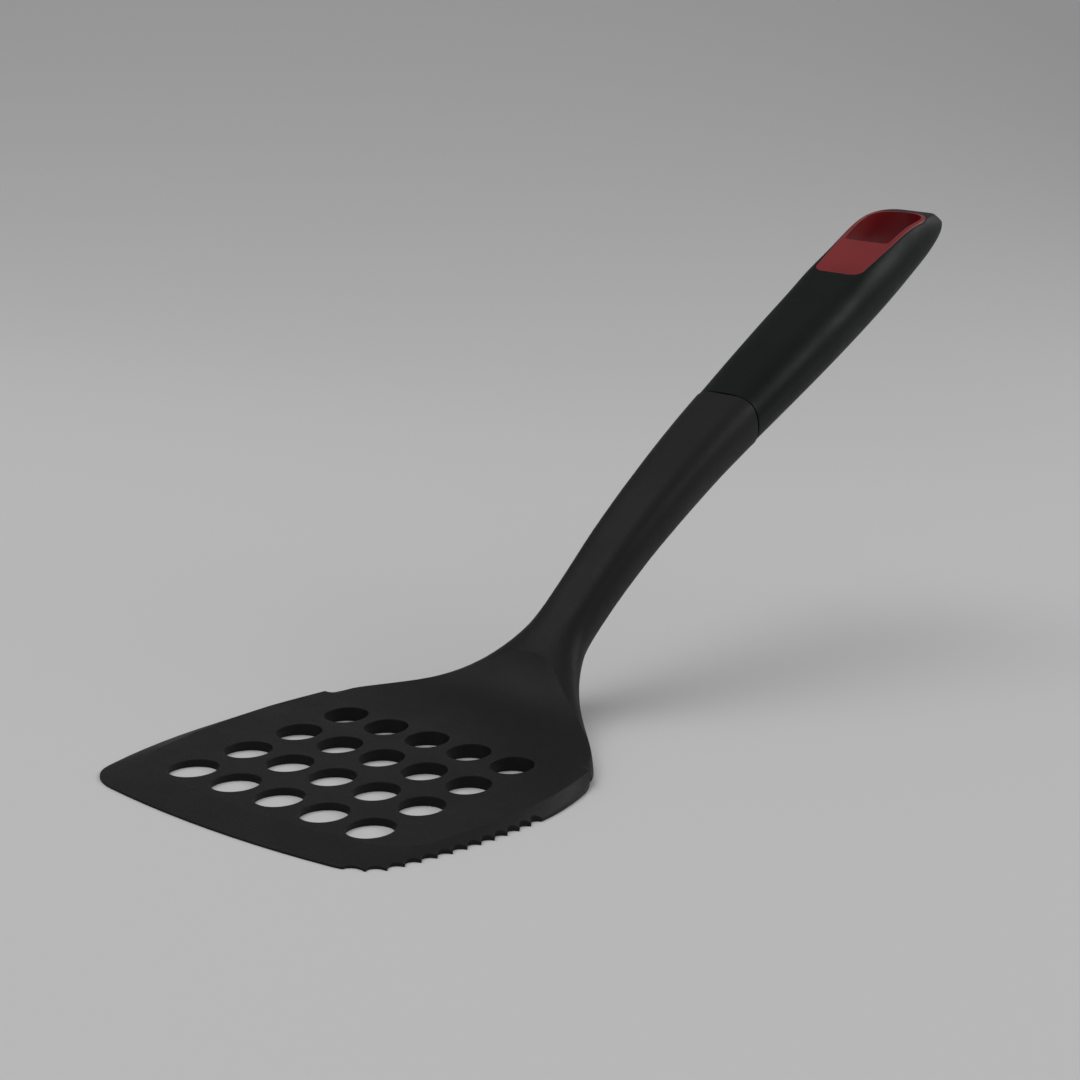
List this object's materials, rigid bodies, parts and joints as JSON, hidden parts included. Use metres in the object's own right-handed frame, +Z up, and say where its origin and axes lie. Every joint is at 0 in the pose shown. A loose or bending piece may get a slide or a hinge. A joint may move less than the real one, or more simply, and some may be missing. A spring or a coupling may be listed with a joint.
{
  "type": "perforated turner",
  "caption": "Slotted kitchen turner: flat perforated blade with one scalloped edge, cranked shaft and a soft grip with a lined hanging hole.",
  "frame": {"origin": "centre of the drain-hole pattern, on the blade's flat underside", "axes": "+X towards the scalloped edge, +Y from the blade to the handle's end, +Z up from the flat underside"},
  "size_m": [0.078, 0.3315, 0.1267],
  "materials": {
    "head_nylon": "fine spark-eroded matt",
    "core_plastic": "as moulded",
    "grip_soft": "soft-touch matt",
    "insert_red": "satin"
  },
  "bodies": {
    "root": {"turner_head": "head_nylon", "handle_core_lower": "core_plastic", "handle_core_upper": "core_plastic", "grip_sleeve": "grip_soft", "hang_hole_insert": "insert_red"}
  },
  "joints": []
}
